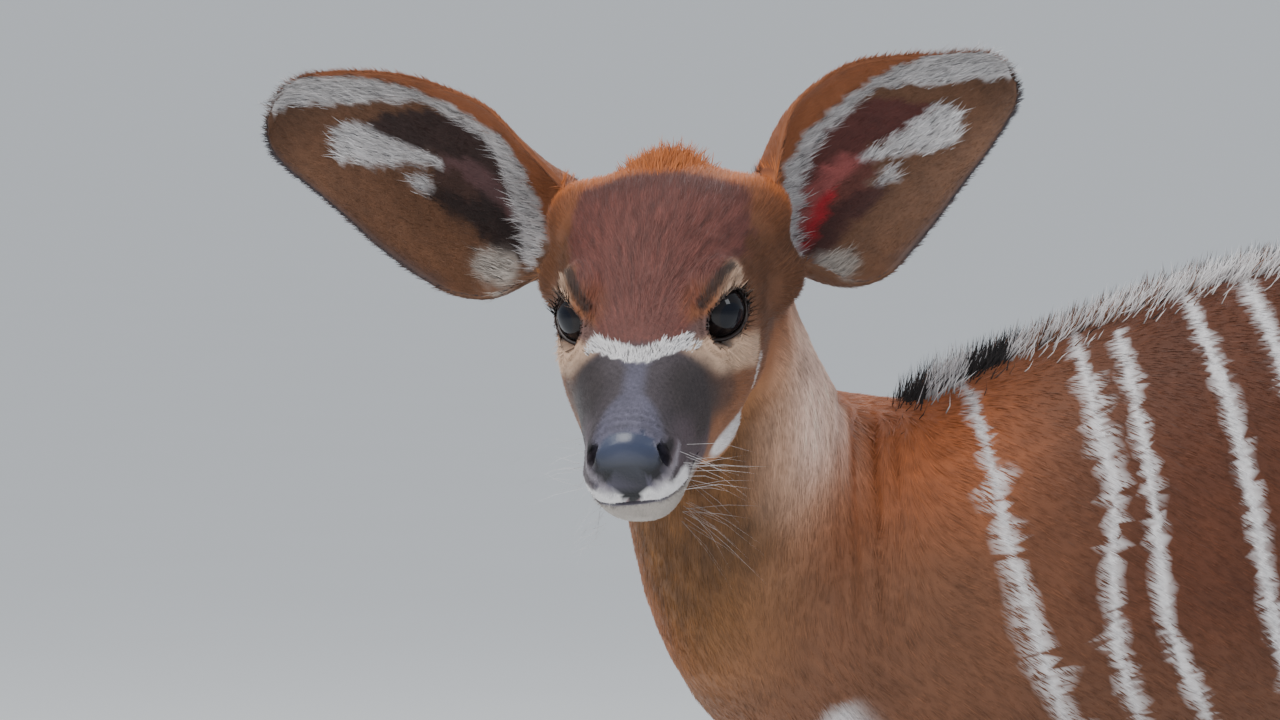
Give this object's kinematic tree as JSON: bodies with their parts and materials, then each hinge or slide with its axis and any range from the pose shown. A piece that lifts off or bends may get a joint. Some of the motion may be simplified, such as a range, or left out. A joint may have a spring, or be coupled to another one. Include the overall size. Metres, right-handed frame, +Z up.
{
  "type": "bongo calf",
  "caption": "Still, life-size bongo antelope calf standing on four legs with its head turned, large open ears, a bristly back crest and a tufted tail.",
  "frame": {"origin": "on the floor, under the middle of the bounding box", "axes": "+Z up, +X along the trunk from the chest to the tail, -Y out of the left flank, where the head looks"},
  "size_m": [0.9432, 0.3732, 0.7854],
  "materials": {
    "coat": "short smooth hair, chestnut with white stripes",
    "eye": "wet, dark and glossy",
    "hoof": "dull dark horn"
  },
  "bodies": {
    "root": {"ear_left": "coat", "ear_right": "coat", "eye_left": "eye", "eye_right": "eye", "head": "coat", "hoof_front_left_left": "hoof", "hoof_front_left_right": "hoof", "hoof_front_right_left": "hoof", "hoof_front_right_right": "hoof", "hoof_hind_left_left": "hoof", "hoof_hind_left_right": "hoof", "hoof_hind_right_left": "hoof", "hoof_hind_right_right": "hoof", "leg_front_left": "coat", "leg_front_right": "coat", "leg_hind_left": "coat", "leg_hind_right": "coat", "neck": "coat", "tail": "coat", "torso": "coat"}
  },
  "joints": []
}
